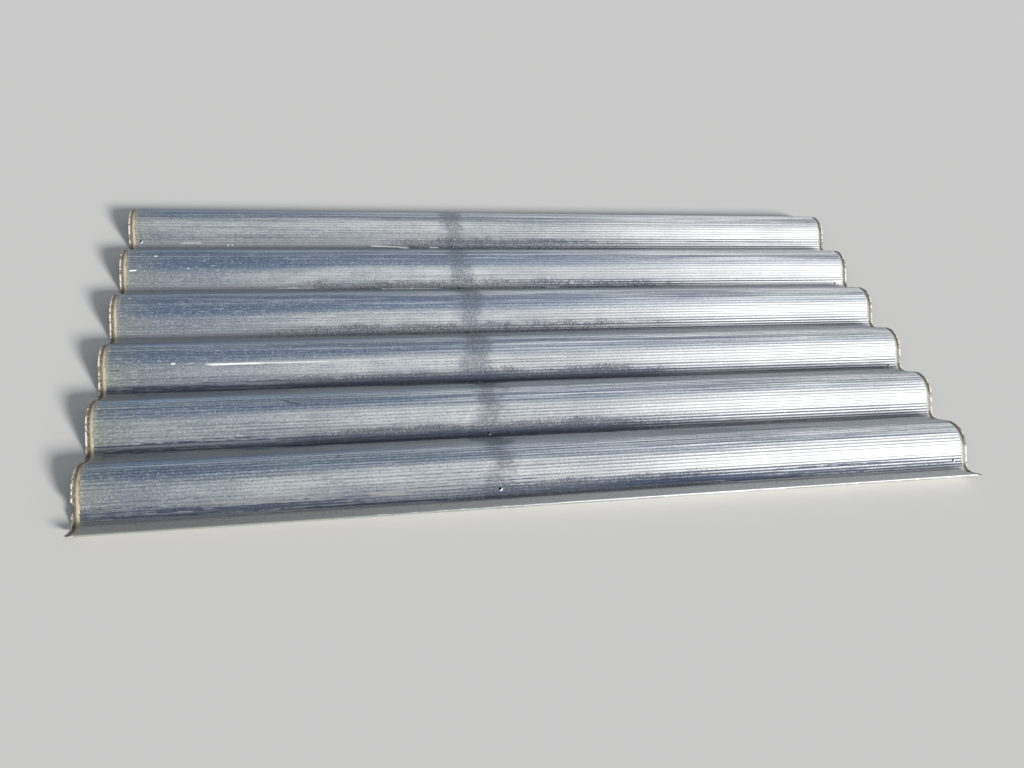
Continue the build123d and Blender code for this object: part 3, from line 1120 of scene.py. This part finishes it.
def paintBand():
    material, tree = newMaterial("pressedBand")
    spot = sheetSpot(tree)
    addPatterns(tree, spot, bandLook["patterns"])
    fromEnd = calc(tree, "PINGPONG", spot["fromLeft"], (rightEnd - leftEnd) / 2)
    side = fade(tree, spot["fromLeft"], *bandLook["toRight"])
    colour = mixColour(tree, side, bandLook["left"], bandLook["right"])
    colour = mixColour(tree, fade(tree, spot["grit"], *bandLook["gritFade"]), colour, bandLook["grit"])
    moved = wander(tree, spot, fromEnd, bandLook["moves"])
    inner = mixColour(tree, side, bandLook["innerLeft"], bandLook["innerRight"])
    colour = mixColour(tree, fade(tree, moved, *bandLook["innerFade"]), colour, inner)
    line = fade(tree, distanceFrom(tree, moved, bandLook["lineMiddle"]), *bandLook["lineFade"])
    line = times(tree, line, fade(tree, side, 0.0, 1.0, *bandLook["lineShares"]))
    colour = mixColour(tree, line, colour, bandLook["grit"])
    # painted glint along the worn outer edge
    edge = fade(tree, fromEnd, *bandLook["edgeFade"])
    edge = times(tree, edge, fade(tree, spot["worn"], *bandLook["wornGlintFade"]))
    colour = mixColour(tree, edge, colour, bandLook["edge"])
    relief = {
        "Strength": bandLook["reliefStrength"],
        "Distance": bandLook["reliefDepth"],
        "Height": spot["grit"],
    }
    finishMaterial(tree, {
        "Base Color": colour,
        "Roughness": bandLook["roughness"],
        "Normal": addNode(tree, "ShaderNodeBump", relief).outputs[0],
        "Alpha": bandLook["alpha"],
    })
    return material


# The bright line where the two skins part
seamLook = {
    "line": (0.560, 0.520, 0.400),
    "between": (0.260, 0.245, 0.200),
    "roughness": 0.38,
    "patterns": {"patches": ("point", (120.0, 120.0, 120.0), 2.0, 0.60)},
    "patchFade": (0.40, 0.68),
    "reach": 0.7,              # of the taper, measured at the middle of each face
}


def paintSeam():
    material, tree = newMaterial("seamLine")
    spot = sheetSpot(tree)
    addPatterns(tree, spot, seamLook["patterns"])
    patches = fade(tree, spot["patches"], *seamLook["patchFade"])
    colour = mixColour(tree, patches, seamLook["line"], seamLook["between"])
    finishMaterial(tree, {"Base Color": colour, "Roughness": seamLook["roughness"]})
    return material


# Gives the sheet its body, bands and seams, by how far each face is from the nearer end
def paintSheet(piece):
    piece.data.materials.clear()
    for material in (paintBody(), paintBand(), paintSeam()):
        piece.data.materials.append(material)
    bandEnd = bandLook["reach"] * sheetSizes["sealWidth"]
    seamEnd = sheetSizes["sealWidth"] + seamLook["reach"] * sheetSizes["sealTaper"]
    for polygon in piece.data.polygons:
        fromEnd = min(polygon.center.x - leftEnd, rightEnd - polygon.center.x)
        polygon.material_index = 1 if fromEnd < bandEnd else 2 if fromEnd < seamEnd else 0


paintSheet(sheetPiece)
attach(sheetPiece, "root")
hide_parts("corrugated_sheet")
print("materials painted")

# Floor, lamp and sky
studioLook = {
    "floor": (0.56, 0.555, 0.54),
    "floorRoughness": 0.9,
    "floorSize": 60.0,
    "keyStrength": 5.26,
    "keyWidth": 11.97,         # in degrees, as seen from the sheet
    "keyElevation": 23.5,      # degrees above the floor
    "keyAzimuth": -51.4,       # degrees from +X towards +Y
    "keyColour": (1.0, 0.985, 0.96),
    "skyColour": (0.86, 0.92, 1.0),
    "skyStrength": 0.42,
}


def makeFloor():
    half = studioLook["floorSize"] / 2
    corners = [(-half, -half, 0), (half, -half, 0), (half, half, 0), (-half, half, 0)]
    mesh = bpy.data.meshes.new("floor")
    mesh.from_pydata(corners, [], [(0, 1, 2, 3)])
    floor = addObject("floor", mesh)
    material, tree = newMaterial("floorPaper")
    colour = (*studioLook["floor"], 1.0)
    finishMaterial(tree, {"Base Color": colour, "Roughness": studioLook["floorRoughness"]})
    mesh.materials.append(material)


# A distant lamp, so that the light falls evenly over the whole sheet and the floor
def makeLamp():
    elevation = math.radians(studioLook["keyElevation"])
    azimuth = math.radians(studioLook["keyAzimuth"])
    lamp = bpy.data.lights.new("keyLamp", "SUN")
    lamp.angle = math.radians(studioLook["keyWidth"])
    lamp.energy = studioLook["keyStrength"]
    lamp.color = studioLook["keyColour"]
    addObject("keyLamp", lamp).rotation_euler = (math.pi / 2 - elevation, 0, azimuth + math.pi / 2)


def makeSky():
    world = bpy.data.worlds.new("studio")
    world.use_nodes = True
    tree = world.node_tree
    tree.nodes.clear()
    inputs = {"Color": (*studioLook["skyColour"], 1.0), "Strength": studioLook["skyStrength"]}
    sky = addNode(tree, "ShaderNodeBackground", inputs)
    addNode(tree, "ShaderNodeOutputWorld", {0: sky.outputs[0]})
    bpy.context.scene.world = world


# Camera at the photo's angle: lengths in metres, angles in degrees
cameraView = {
    "place": (-0.5356, -1.5426, 1.5207),
    "turn": 18.19,             # to the right of +Y
    "down": 46.28,
    "roll": 11.37,
    "lens": 29.20,             # these two in millimetres
    "sensor": 36.0,
    "nearest": 0.05,
    "furthest": 60.0,
}


def makeCamera():
    turn, down, roll = (math.radians(cameraView[name]) for name in ("turn", "down", "roll"))
    forward = np.array([math.sin(turn) * math.cos(down), math.cos(turn) * math.cos(down), -math.sin(down)])
    right = np.array([math.cos(turn), -math.sin(turn), 0.0])
    up = np.cross(right, forward)
    rolledRight = math.cos(roll) * right + math.sin(roll) * up
    rolledUp = math.cos(roll) * up - math.sin(roll) * right
    lens = bpy.data.cameras.new("camera")
    lens.lens = cameraView["lens"]
    lens.sensor_width = cameraView["sensor"]
    lens.clip_start = cameraView["nearest"]
    lens.clip_end = cameraView["furthest"]
    camera = addObject("camera", lens)
    turned = Matrix((rolledRight, rolledUp, -forward)).transposed().to_4x4()
    camera.matrix_world = Matrix.Translation(cameraView["place"]) @ turned
    bpy.context.scene.camera = camera


makeFloor()
makeLamp()
makeSky()
makeCamera()
bpy.context.scene.view_settings.view_transform = "Standard"
print("studio ready")
